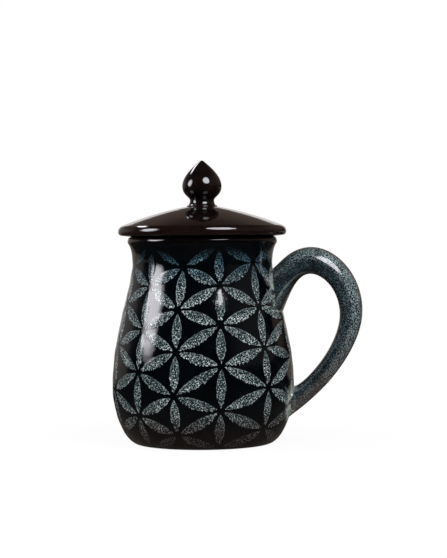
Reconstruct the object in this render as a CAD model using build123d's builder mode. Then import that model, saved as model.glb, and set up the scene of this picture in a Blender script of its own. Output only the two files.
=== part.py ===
from build123d import *
import os
from math import cos, radians, sin

# Stoneware mug with a pulled loop handle and a lift-off lid, in millimetres.
# The turning axis is Z, the table is at zero height and the handle points along X.

# Mug body: radii from the turning axis, heights from the table, drops from the rim
rim_height = 101.6
belly_radius = 45.0
belly_height = 28.8
neck_radius = 34.7
neck_drop = 12.9
lip_radius = 36.8
lip_round = 1.8
neck_wall = 3.8
belly_wall = 4.4
mouth_bevel = 1.2
floor_height = 6.5
foot_radius = 32.5
foot_ring_width = 5.0
foot_recess = 2.0
foot_recess_taper = 35

# Curve controls of the mug's wall, as shares of the height or radius that each curve spans
wall_belly_share = 0.394
wall_neck_share = 0.159
base_belly_share = 0.708
base_foot_share = 0.268
lip_neck_share = 0.9
lip_edge_share = 0.2

# Handle: standoffs outside the body's radii, drops from the rim, depths inside the body
handle_thickness = 13.0
handle_width = 16.0
crown_standoff = 19.0
crown_drop = 12.0
reach_standoff = 28.2
reach_drop = 37.2
upper_root_depth = 3.8
upper_root_drop = 34.5
upper_root_angle = 56
lower_root_depth = 8.1
lower_root_height = 18.3
lower_root_angle = 11

# Curve controls of the handle's centre line, as shares of the spans between its key points
upper_root_share = 0.57
crown_inner_share = 0.46
crown_outer_share = 0.465
reach_upper_share = 0.577
reach_lower_share = 0.39
lower_root_share = 0.41

# Sections of the handle: places along its length, and its taper from the crown down
station_shares = (0, 0.165, 0.265, 0.38, 0.515, 0.67, 0.79, 0.88, 1)
thickness_shares = (1.24, 0.98, 1.02, 0.95, 0.862, 0.757, 0.722, 0.735, 1)
width_shares = (1.22, 1.02, 0.98, 0.94, 0.88, 0.81, 0.77, 0.79, 1.04)
handle_back_share = 0.6

# Lid: heights from its flat seat on the rim, and its edge's rounds as shares of the edge's height
lid_overhang = 4.6
lid_edge_height = 4.9
lid_top_round_share = 0.61
lid_under_round_share = 0.39
lid_under_rise_share = 0.16
lid_rise = 14.8
lid_bulge = 0.95
lid_wall = 4.6
lid_hollow_bevel = 2.0

# Locating ring under the lid, loose in the mug's throat
ring_clearance = 0.8
ring_thickness = 3.2
ring_depth = 7.0
ring_bevel = 1.0

# Knob: heights from its seat on the lid
knob_radius = 9.7
knob_belly_height = 9.9
knob_neck_radius = 5.95
knob_neck_height = 3.0
knob_foot_radius = 7.5
knob_foot_edge = 0.4
knob_height = 22.6
knob_tip_round = 1.2
knob_tip_angle = 46
knob_neck_share = 0.243
knob_lower_share = 0.637
knob_upper_share = 0.52
knob_tip_share = 0.1

# Places worked out from the driving sizes
neck_height = rim_height - neck_drop
wall_span = neck_height - belly_height
lip_height = rim_height - lip_round
lip_span = lip_height - neck_height
throat_radius = neck_radius - neck_wall
floor_radius = throat_radius
cavity_radius = belly_radius - belly_wall
foot_recess_radius = foot_radius - foot_ring_width
lid_radius = lip_radius + lid_overhang
lid_edge = rim_height + lid_edge_height
lid_top = rim_height + lid_rise
lid_seat_radius = lip_radius - lip_round
lid_under_edge = rim_height + lid_under_rise_share * lid_edge_height
ring_radius = throat_radius - ring_clearance
ring_inner_radius = ring_radius - ring_thickness
ring_bottom = rim_height - ring_depth


def whole_circles(part):
    """Return the full circles among a turned part's edges."""
    return part.edges().filter_by(GeomType.CIRCLE).filter_by(lambda edge: edge.is_closed)


os.makedirs("parts", exist_ok=True)

# Full outer form of the mug, which also shapes the handle's ends
with BuildPart() as mug_form:
    with BuildSketch(Plane.XZ):
        with BuildLine():
            Line((0, 0), (foot_radius, 0))
            Bezier(
                (foot_radius, 0),
                (foot_radius + base_foot_share * (belly_radius - foot_radius), 0),
                (belly_radius, belly_height - base_belly_share * belly_height),
                (belly_radius, belly_height),
            )
            Bezier(
                (belly_radius, belly_height),
                (belly_radius, belly_height + wall_belly_share * wall_span),
                (neck_radius, neck_height - wall_neck_share * wall_span),
                (neck_radius, neck_height),
            )
            Bezier(
                (neck_radius, neck_height),
                (neck_radius, neck_height + lip_neck_share * lip_span),
                (lip_radius, lip_height - lip_edge_share * lip_span),
                (lip_radius, lip_height),
            )
            CenterArc((lip_radius - lip_round, lip_height), lip_round, 0, 90)
            Line((lip_radius - lip_round, rim_height), (0, rim_height))
            Line((0, rim_height), (0, 0))
        make_face()
    revolve(axis=Axis.Z)

# Mug body: the outer form, hollowed by the cavity and turned out under the foot
with BuildPart() as mug_body:
    add(mug_form.part)
    with BuildSketch(Plane.XZ):
        with BuildLine():
            Line((0, floor_height), (floor_radius, floor_height))
            Bezier(
                (floor_radius, floor_height),
                (floor_radius + base_foot_share * (cavity_radius - floor_radius), floor_height),
                (cavity_radius, belly_height - base_belly_share * (belly_height - floor_height)),
                (cavity_radius, belly_height),
            )
            Bezier(
                (cavity_radius, belly_height),
                (cavity_radius, belly_height + wall_belly_share * wall_span),
                (throat_radius, neck_height - wall_neck_share * wall_span),
                (throat_radius, neck_height),
            )
            Line((throat_radius, neck_height), (throat_radius, rim_height))
            Line((throat_radius, rim_height), (0, rim_height))
            Line((0, rim_height), (0, floor_height))
        make_face()
    revolve(axis=Axis.Z, mode=Mode.SUBTRACT)
    chamfer(whole_circles(mug_body).group_by(Axis.Z)[-1].sort_by(SortBy.RADIUS)[0], mouth_bevel)
    with BuildSketch(Plane.XY):
        Circle(foot_recess_radius)
    extrude(amount=foot_recess, taper=foot_recess_taper, mode=Mode.SUBTRACT)
mug_body.part.label = "mug_body"
export_step(mug_body.part, "parts/mug_body.step")

# Centre line of the handle: from inside the neck, over the crown, out and down into the base
crown = (neck_radius + crown_standoff, rim_height - crown_drop)
reach = (belly_radius + reach_standoff, rim_height - reach_drop)
upper_root = (neck_radius - upper_root_depth, rim_height - upper_root_drop)
lower_root = (belly_radius - lower_root_depth, lower_root_height)
upper_pull = upper_root_share * (crown[1] - upper_root[1])
lower_pull = lower_root_share * (reach[0] - lower_root[0])
with BuildLine(Plane.XZ) as handle_line:
    Bezier(
        upper_root,
        (
            upper_root[0] + upper_pull * cos(radians(upper_root_angle)),
            upper_root[1] + upper_pull * sin(radians(upper_root_angle)),
        ),
        (crown[0] - crown_inner_share * (crown[0] - upper_root[0]), crown[1]),
        crown,
    )
    Bezier(
        crown,
        (crown[0] + crown_outer_share * (reach[0] - crown[0]), crown[1]),
        (reach[0], reach[1] + reach_upper_share * (crown[1] - reach[1])),
        reach,
    )
    Bezier(
        reach,
        (reach[0], reach[1] - reach_lower_share * (reach[1] - lower_root[1])),
        (
            lower_root[0] + lower_pull * cos(radians(lower_root_angle)),
            lower_root[1] + lower_pull * sin(radians(lower_root_angle)),
        ),
        lower_root,
    )

# Handle: a tapering strap with a full back and a flatter inside, seated on the mug's wall
with BuildPart() as handle:
    centre_line = handle_line.wires()[0]
    for station, thickness_share, width_share in zip(station_shares, thickness_shares, width_shares):
        section_plane = Plane(
            origin=centre_line @ station,
            x_dir=(0, 1, 0),
            z_dir=centre_line % station,
        )
        thickness = thickness_share * handle_thickness
        half_width = width_share * handle_width / 2
        back_depth = handle_back_share * thickness
        inside_depth = thickness - back_depth
        widest = (0, (inside_depth - back_depth) / 2)
        with BuildSketch(section_plane):
            with BuildLine():
                EllipticalCenterArc(widest, half_width, back_depth, 0, arc_size=180)
                EllipticalCenterArc(widest, half_width, inside_depth, 180, arc_size=180)
            make_face()
    loft()
    add(mug_form.part, mode=Mode.SUBTRACT)
handle.part.label = "handle"
export_step(handle.part, "parts/handle.step")

# Space under the lid's dome, as wide as the inside of the locating ring
with BuildPart() as lid_hollow:
    with BuildSketch(Plane.XZ):
        with BuildLine():
            lid_slope = (lid_top - lid_edge) / (lid_radius - knob_foot_radius)
            hollow_top = lid_top - lid_wall
            hollow_edge = hollow_top - lid_slope * (ring_inner_radius - knob_foot_radius)
            Line((0, rim_height), (ring_inner_radius, rim_height))
            Line((ring_inner_radius, rim_height), (ring_inner_radius, hollow_edge))
            SagittaArc((0, hollow_top), (ring_inner_radius, hollow_edge), lid_bulge)
            Line((0, hollow_top), (0, rim_height))
        make_face()
    revolve(axis=Axis.Z)
    chamfer(whole_circles(lid_hollow).sort_by(Axis.Z)[-1], lid_hollow_bevel)

# Lid: a shallow dome with a rounded overhanging edge, raised outside its seat, and a flat land for the knob
with BuildPart() as lid:
    with BuildSketch(Plane.XZ):
        with BuildLine():
            Line((0, rim_height), (lid_seat_radius, rim_height))
            Line((lid_seat_radius, rim_height), (lid_radius, lid_under_edge))
            Line((lid_radius, lid_under_edge), (lid_radius, lid_edge))
            SagittaArc((knob_foot_radius, lid_top), (lid_radius, lid_edge), lid_bulge)
            Line((knob_foot_radius, lid_top), (0, lid_top))
            Line((0, lid_top), (0, rim_height))
        make_face()
    revolve(axis=Axis.Z)
    lid_brim = whole_circles(lid).group_by(SortBy.RADIUS)[-1].sort_by(Axis.Z)
    fillet(lid_brim[-1], lid_top_round_share * lid_edge_height)
    lid_brim = whole_circles(lid).group_by(SortBy.RADIUS)[-1].sort_by(Axis.Z)
    fillet(lid_brim[0], lid_under_round_share * lid_edge_height)
    add(lid_hollow.part, mode=Mode.SUBTRACT)
lid.part.label = "lid"
export_step(lid.part, "parts/lid.step")

# Locating ring: hangs from the lid's underside into the throat
with BuildPart() as lid_locating_ring:
    with BuildSketch(Plane.XY.offset(ring_bottom)):
        Circle(ring_radius)
        Circle(ring_inner_radius, mode=Mode.SUBTRACT)
    extrude(amount=ring_depth)
    chamfer(whole_circles(lid_locating_ring).group_by(Axis.Z)[0], ring_bevel)
lid_locating_ring.part.label = "lid_locating_ring"
export_step(lid_locating_ring.part, "parts/lid_locating_ring.step")

# Knob: a drop-shaped finial on a narrow neck that flares to its foot on the lid
with BuildPart() as knob:
    with BuildSketch(Plane.XZ):
        with BuildLine():
            knob_neck = lid_top + knob_neck_height
            knob_belly = lid_top + knob_belly_height
            knob_top = lid_top + knob_height
            tip_centre = knob_top - knob_tip_round
            tip_x = knob_tip_round * cos(radians(knob_tip_angle))
            tip_z = tip_centre + knob_tip_round * sin(radians(knob_tip_angle))
            lower_span = knob_belly - knob_neck
            upper_span = tip_z - knob_belly
            tip_pull = knob_tip_share * upper_span
            Line((0, lid_top), (knob_foot_radius, lid_top))
            Line((knob_foot_radius, lid_top), (knob_foot_radius, lid_top + knob_foot_edge))
            EllipticalCenterArc(
                (knob_foot_radius, knob_neck),
                knob_foot_radius - knob_neck_radius,
                knob_neck_height - knob_foot_edge,
                180,
                arc_size=90,
            )
            Bezier(
                (knob_neck_radius, knob_neck),
                (knob_neck_radius, knob_neck + knob_neck_share * lower_span),
                (knob_radius, knob_belly - knob_lower_share * lower_span),
                (knob_radius, knob_belly),
            )
            Bezier(
                (knob_radius, knob_belly),
                (knob_radius, knob_belly + knob_upper_share * upper_span),
                (
                    tip_x + tip_pull * sin(radians(knob_tip_angle)),
                    tip_z - tip_pull * cos(radians(knob_tip_angle)),
                ),
                (tip_x, tip_z),
            )
            CenterArc((0, tip_centre), knob_tip_round, knob_tip_angle, 90 - knob_tip_angle)
            Line((0, knob_top), (0, lid_top))
        make_face()
    revolve(axis=Axis.Z)
knob.part.label = "knob"
export_step(knob.part, "parts/knob.step")
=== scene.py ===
"""Looks of a lidded stoneware mug: its meshes, glazes, studio light and camera."""

import logging
import math
from collections.abc import Sequence
from dataclasses import dataclass, field
from enum import Enum
from functools import reduce
from typing import Any

import bpy
import numpy as np
from mathutils import Matrix, Vector


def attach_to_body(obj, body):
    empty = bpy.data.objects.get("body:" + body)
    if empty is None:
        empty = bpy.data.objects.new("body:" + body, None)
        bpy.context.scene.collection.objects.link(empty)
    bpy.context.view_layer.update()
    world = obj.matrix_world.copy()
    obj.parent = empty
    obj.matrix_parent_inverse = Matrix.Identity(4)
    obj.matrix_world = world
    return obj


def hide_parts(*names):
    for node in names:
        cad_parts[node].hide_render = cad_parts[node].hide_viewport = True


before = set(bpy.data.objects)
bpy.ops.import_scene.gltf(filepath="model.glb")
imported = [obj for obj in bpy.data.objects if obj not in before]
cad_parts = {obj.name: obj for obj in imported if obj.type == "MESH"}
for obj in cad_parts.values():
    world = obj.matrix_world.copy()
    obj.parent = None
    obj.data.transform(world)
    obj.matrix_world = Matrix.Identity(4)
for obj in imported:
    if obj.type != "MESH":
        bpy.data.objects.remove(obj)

log = logging.getLogger("lidded_mug")

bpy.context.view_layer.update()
MM = 0.001
FULL_TURN = 2 * math.pi
ON_AXIS = 1e-9
NOISE_MIDDLE = 0.5

Colour = tuple[float, float, float, float]
Pair = tuple[float, float]
Socket = bpy.types.NodeSocket
Material = bpy.types.Material
Piece = bpy.types.Object

WHITE: Colour = (1, 1, 1, 1)


class Body(Enum):
    """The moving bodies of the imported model."""

    MUG = "mug"
    LID = "lid"


class Slot(Enum):
    """The record's material slots."""

    PETAL = "petal_glaze"
    MOTTLED = "mottled_glaze"
    BROWN = "brown_glaze"


class LampShape(Enum):
    """Outlines of the studio's softboxes."""

    OBLONG = "RECTANGLE"
    ROUND = "ELLIPSE"


@dataclass(frozen=True)
class Step:
    """A smooth step: where it starts and ends, and the levels before and after it."""

    low: float
    high: float
    before: float = 0.0
    after: float = 1.0

    def at(self, values: np.ndarray) -> np.ndarray:
        """Give the step's level at each value."""
        share = np.clip((values - self.low) / (self.high - self.low), 0.0, 1.0)
        return self.before + (self.after - self.before) * share * share * (3 - 2 * share)


@dataclass(frozen=True)
class Mottle:
    """Cloudy noise: blotches a millimetre, finer layers and their strength, twist, stretch and contrast."""

    scale: float
    layers: float = 3.0
    strength: float = 0.55
    twist: float = 0.0
    stretch: tuple[float, float, float] = (1, 1, 1)
    step: Step | None = None


def paint(red: float, green: float, blue: float) -> Colour:
    """Turn a colour given in display values into the linear one that shaders take.

    Args:
        red: Red from 0 to 255.
        green: Green from 0 to 255.
        blue: Blue from 0 to 255.

    Returns:
        The linear colour, with full alpha.
    """
    shares = (value / 255 for value in (red, green, blue))
    linear = [s / 12.92 if s <= 0.04045 else ((s + 0.055) / 1.055) ** 2.4 for s in shares]
    return (linear[0], linear[1], linear[2], 1.0)


def unit(vectors: np.ndarray) -> np.ndarray:
    """Scale vectors to a length of 1."""
    return vectors / np.linalg.norm(vectors, axis=-1, keepdims=True)


def heading(degrees: float) -> np.ndarray:
    """Give the flat direction at an angle from level."""
    return np.array((math.cos(math.radians(degrees)), math.sin(math.radians(degrees))))


def lengths_along(points: np.ndarray) -> np.ndarray:
    """Give the length of a line of points up to each of them."""
    return np.concatenate(([0], np.cumsum(np.linalg.norm(np.diff(points, axis=0), axis=1))))


def turns(count: int) -> np.ndarray:
    """Give evenly spaced angles round a full turn."""
    return np.arange(count) * FULL_TURN / count


def around(radius: Any, angle: Any, level: Any) -> np.ndarray:
    """Place points at radii, angles and heights round the upright axis."""
    radius, angle, level = np.broadcast_arrays(radius, angle, level)
    return np.stack((radius * np.cos(angle), radius * np.sin(angle), level), -1)


def straight(start: Pair, end: Pair, count: int) -> np.ndarray:
    """Sample a straight line at so many points, ends included."""
    return np.linspace(np.array(start, float), np.array(end, float), count)


def bezier(start: Pair, leave: Pair, arrive: Pair, end: Pair, count: int) -> np.ndarray:
    """Sample a cubic Bezier curve.

    Args:
        start: Its first point.
        leave: How far its first handle lies on from there.
        arrive: How far its second handle lies short of the end.
        end: Its last point.
        count: How many samples to take, ends included.

    Returns:
        The samples, one point in each row.
    """
    first, out, into, last = (np.array(pair, float) for pair in (start, leave, arrive, end))
    t = np.linspace(0, 1, count)[:, None]
    u = 1 - t
    return u**3 * first + 3 * u**2 * t * (first + out) + 3 * u * t**2 * (last - into) + t**3 * last


def arc(centre: Pair, radii: Pair, start: float, sweep: float, count: int) -> np.ndarray:
    """Sample an arc of an ellipse.

    Args:
        centre: Its centre.
        radii: Its half-axes across and up.
        start: Its first angle, in degrees.
        sweep: The angle that it turns through, in degrees.
        count: How many samples to take, ends included.

    Returns:
        The samples, one point in each row.
    """
    angle = np.radians(start + np.linspace(0, sweep, count))
    return np.column_stack((centre[0] + radii[0] * np.cos(angle), centre[1] + radii[1] * np.sin(angle)))


def bulged(start: Pair, end: Pair, rise: float, count: int) -> np.ndarray:
    """Sample a shallow arc that stands off its chord, to the left of the way from start to end.

    Args:
        start: Its first point.
        end: Its last point.
        rise: How far its middle stands off the chord.
        count: How many samples to take, ends included.

    Returns:
        The samples, one point in each row.
    """
    chord = np.subtract(end, start)
    side = unit(np.array((-chord[1], chord[0])))
    share = np.linspace(0, 1, count)[:, None]
    return start + chord * share + side * rise * 4 * share * (1 - share)


def through(places: Sequence[float], values: Sequence[float], at: np.ndarray) -> np.ndarray:
    """Run a smooth curve through a row of values.

    Args:
        places: Where the values stand, in rising order.
        values: The values.
        at: Where the curve is wanted.

    Returns:
        The curve's values there.
    """
    x, y = np.array(places, float), np.array(values, float)
    slope = np.gradient(y, x)
    i = np.clip(np.searchsorted(x, at) - 1, 0, len(x) - 2)
    step = x[i + 1] - x[i]
    t = (at - x[i]) / step
    ends = (2 * t**3 - 3 * t**2 + 1) * y[i] + (3 * t**2 - 2 * t**3) * y[i + 1]
    return ends + ((t**3 - 2 * t**2 + t) * slope[i] + (t**3 - t**2) * slope[i + 1]) * step


def make_mesh(name: str, rings: Sequence[np.ndarray], finishes: Sequence[int], flip: bool = False) -> Piece:
    """Make a smooth-shaded mesh from rings of points, each joined to the next, and put it in the scene.

    Args:
        name: The piece's name.
        rings: The rings, in millimetres. All have as many points, or one point where the mesh closes.
        finishes: The material slot of each band of faces. With one for each ring, the last joins the first.
        flip: Whether the faces look the other way.

    Returns:
        The new object.
    """
    columns = max(len(ring) for ring in rings)
    first = np.cumsum([0] + [len(ring) for ring in rings])
    here = np.arange(columns)
    nxt = (here + 1) % columns
    bands = []
    for row in range(len(finishes)):
        above = (row + 1) % len(rings)
        low, high = first[row], first[above]
        if len(rings[row]) == 1:
            corners = [np.full(columns, low), high + nxt, high + here]
        elif len(rings[above]) == 1:
            corners = [low + here, low + nxt, np.full(columns, high)]
        else:
            corners = [low + here, low + nxt, high + nxt, high + here]
        bands.append(np.column_stack(corners[:1] + corners[:0:-1] if flip else corners))
    sizes = np.repeat([band.shape[1] for band in bands], columns)
    points = np.vstack(rings) * MM
    loops = np.concatenate([band.ravel() for band in bands])
    mesh = bpy.data.meshes.new(name)
    mesh.vertices.add(len(points))
    mesh.vertices.foreach_set("co", points.astype(np.float32).ravel())
    mesh.loops.add(len(loops))
    mesh.loops.foreach_set("vertex_index", loops.astype(np.int32))
    mesh.polygons.add(len(sizes))
    mesh.polygons.foreach_set("loop_start", (np.cumsum(sizes) - sizes).astype(np.int32))
    mesh.polygons.foreach_set("material_index", np.repeat(finishes, columns).astype(np.int32))
    mesh.update(calc_edges=True)
    mesh.validate()
    mesh.shade_smooth()
    piece = bpy.data.objects.new(name, mesh)
    bpy.context.scene.collection.objects.link(piece)
    return piece


def note(piece: Piece, name: str, values: np.ndarray) -> None:
    """Store one number at each vertex, under a name, for a glaze to read."""
    layer = piece.data.attributes.new(name, "FLOAT", "POINT")
    layer.data.foreach_set("value", values.astype(np.float32))


def attach(piece: Piece, glazes: Sequence[Material], body: Body, node: str) -> Piece:
    """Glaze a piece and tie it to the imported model.

    Args:
        piece: The piece.
        glazes: Its materials, in the order of its faces' slots.
        body: The body that it moves with.
        node: The solid that it stands for.

    Returns:
        The same piece.
    """
    for glaze in glazes:
        piece.data.materials.append(glaze)
    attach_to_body(piece, body.value)
    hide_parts(node)
    return piece


class Graph:
    """The nodes of one material, lamp or room, with short ways to add and join them."""

    def __init__(self, owner: bpy.types.ID, output: str = "ShaderNodeOutputMaterial") -> None:
        """Start with nothing but the output.

        Args:
            owner: The material, lamp or room.
            output: The type of its output node.
        """
        owner.use_nodes = True
        self.owner = owner
        self.tree = owner.node_tree
        self.tree.nodes.clear()
        self.output = self.add(output)

    @classmethod
    def material(cls, name: str) -> "Graph":
        """Start a new material."""
        return cls(bpy.data.materials.new(name))

    def add(self, kind: str, feeds: dict[str | int, Any] | None = None, **settings: Any) -> bpy.types.Node:
        """Add a node.

        Args:
            kind: The node's type.
            feeds: What its inputs get, by name or place.
            **settings: Properties to set on it.

        Returns:
            The node.
        """
        node = self.tree.nodes.new(kind)
        for name, value in settings.items():
            setattr(node, name, value)
        for name, value in (feeds or {}).items():
            self.feed(node.inputs[name], value)
        return node

    def feed(self, socket: Socket, value: Any) -> None:
        """Give an input its value, by a link where the value comes from a node.

        Args:
            socket: The input.
            value: A number, a colour, a vector or another node's output.
        """
        if isinstance(value, Socket):
            self.tree.links.new(value, socket)
        else:
            socket.default_value = value

    def show(self, result: Socket) -> Any:
        """Send a result to the output, and give the finished material, lamp or room."""
        self.feed(self.output.inputs["Surface"], result)
        return self.owner

    def place(self, stretch: tuple[float, float, float] = (1, 1, 1)) -> Socket:
        """Give the place on the piece, in millimetres, with each axis scaled by its stretch."""
        feeds = {0: self.add("ShaderNodeTexCoord").outputs["Object"], "Scale": tuple(s / MM for s in stretch)}
        return self.add("ShaderNodeMapping", feeds, vector_type="POINT").outputs["Vector"]

    def axis(self, vector: Socket, name: str) -> Socket:
        """Give one axis of a vector."""
        return self.add("ShaderNodeSeparateXYZ", {0: vector}).outputs[name]

    def height(self) -> Socket:
        """Give the height above the table, in millimetres."""
        return self.axis(self.place(), "Z")

    def along(self, vector: Socket, way: Sequence[float]) -> Socket:
        """Measure a vector along a direction."""
        feeds = {0: vector, 1: tuple(way)}
        return self.add("ShaderNodeVectorMath", feeds, operation="DOT_PRODUCT").outputs["Value"]

    def noted(self, name: str) -> Socket:
        """Give the number that the mesh stores under a name."""
        return self.add("ShaderNodeAttribute", attribute_name=name).outputs["Fac"]

    def noise(self, mottle: Mottle) -> Socket:
        """Add cloudy noise.

        Args:
            mottle: What it is like.

        Returns:
            The noise, about 0 to 1, eased where the mottle has a step.
        """
        feeds = {"Vector": self.place(mottle.stretch), "Scale": mottle.scale, "Detail": mottle.layers}
        feeds |= {"Roughness": mottle.strength, "Distortion": mottle.twist}
        cloud = self.add("ShaderNodeTexNoise", feeds).outputs["Fac"]
        return self.ease(cloud, mottle.step) if mottle.step else cloud

    def cells(self, vector: Socket, scale: float, feature: str) -> Socket:
        """Give a distance in a net of irregular cells, with so many cells in each millimetre."""
        feeds = {"Vector": vector, "Scale": scale}
        return self.add("ShaderNodeTexVoronoi", feeds, feature=feature).outputs[0]

    def sum(self, operation: str, *numbers: Any) -> Socket:
        """Work out a number from others, by an operation such as ADD."""
        return self.add("ShaderNodeMath", dict(enumerate(numbers)), operation=operation).outputs[0]

    def times(self, *numbers: Any) -> Socket:
        """Multiply numbers."""
        return reduce(lambda first, second: self.sum("MULTIPLY", first, second), numbers)

    def most(self, *numbers: Any) -> Socket:
        """Give the largest of some numbers."""
        return reduce(lambda first, second: self.sum("MAXIMUM", first, second), numbers)

    def ease(self, value: Any, step: Step) -> Socket:
        """Ease a number by a smooth step.

        Args:
            value: The number.
            step: The step.

        Returns:
            The eased number.
        """
        feeds = {"Value": value, "From Min": step.low, "From Max": step.high}
        feeds |= {"To Min": step.before, "To Max": step.after}
        node = self.add("ShaderNodeMapRange", feeds, interpolation_type="SMOOTHSTEP", clamp=True)
        return node.outputs["Result"]

    def stepped(self, *pairs: tuple[Any, Step]) -> Socket:
        """Multiply numbers, each eased by its smooth step."""
        return self.times(*(self.ease(value, step) for value, step in pairs))

    def blend(self, share: Any, first: Any, second: Any) -> Socket:
        """Mix a share of the second colour into the first."""
        feeds = {0: share, 6: first, 7: second}
        return self.add("ShaderNodeMix", feeds, data_type="RGBA", clamp_factor=True).outputs[2]

    def bump(self, height: Socket, depth: float, below: Socket | None = None) -> Socket:
        """Tilt the surface, or a normal below, as a height field of a depth in millimetres would."""
        feeds = {"Height": height, "Distance": depth * MM} | ({} if below is None else {"Normal": below})
        return self.add("ShaderNodeBump", feeds).outputs["Normal"]

    def surface(self, colour: Any, roughness: Any, normal: Socket, gloss: float) -> Material:
        """Finish the material with a glazed or bare ceramic surface, where a gloss of 0.5 is plain glass."""
        feeds = {"Base Color": colour, "Roughness": roughness, "Normal": normal, "Specular IOR Level": gloss}
        return self.show(self.add("ShaderNodeBsdfPrincipled", feeds).outputs[0])

    def glow(self, colour: Any, strength: Any) -> Socket:
        """Shine with a colour and a strength."""
        return self.add("ShaderNodeEmission", {"Color": colour, "Strength": strength}).outputs[0]

    def rays(self) -> tuple[Socket, Socket, Socket]:
        """Say what kind of ray is asking.

        Returns:
            Whether it comes from the camera, from gloss or glass, and from a dull surface.
        """
        kinds = self.add("ShaderNodeLightPath").outputs
        mirrored = self.most(kinds["Is Glossy Ray"], kinds["Is Transmission Ray"])
        return kinds["Is Camera Ray"], mirrored, kinds["Is Diffuse Ray"]


@dataclass(frozen=True)
class BrownGlaze:
    """Glossy brown-black glaze that breaks to red-brown where it runs thin on an edge."""

    name: str = "brown_glaze"
    deep: Colour = paint(7, 5, 5)
    cloud: Colour = paint(17, 10, 9)
    thin: Colour = paint(34, 16, 13)
    clouds: Mottle = Mottle(0.11, 4.0, 0.6, 0.4, step=Step(0.35, 0.7))
    flecks: Mottle = Mottle(0.9, 3.0, 0.6, stretch=(1, 1, 2), step=Step(0.3, 0.7, 0.1, 0.45))
    skin: Mottle = Mottle(0.35, 2.0, 0.4)
    skin_depth: float = 0.05
    pits: Mottle = Mottle(2.2, 2.0, 0.5)
    pit_depth: float = 0.006
    roughness: Step = Step(0.3, 0.8, 0.04, 0.075)
    gloss: float = 0.5

    def make(self) -> Material:
        """Build the material.

        Returns:
            The material.
        """
        g = Graph.material(self.name)
        colour = g.blend(g.noise(self.clouds), self.deep, self.cloud)
        colour = g.blend(g.times(g.noted("edge"), g.noise(self.flecks)), colour, self.thin)
        pits = g.noise(self.pits)
        normal = g.bump(pits, self.pit_depth, g.bump(g.noise(self.skin), self.skin_depth))
        return g.surface(colour, g.ease(pits, self.roughness), normal, self.gloss)


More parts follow.
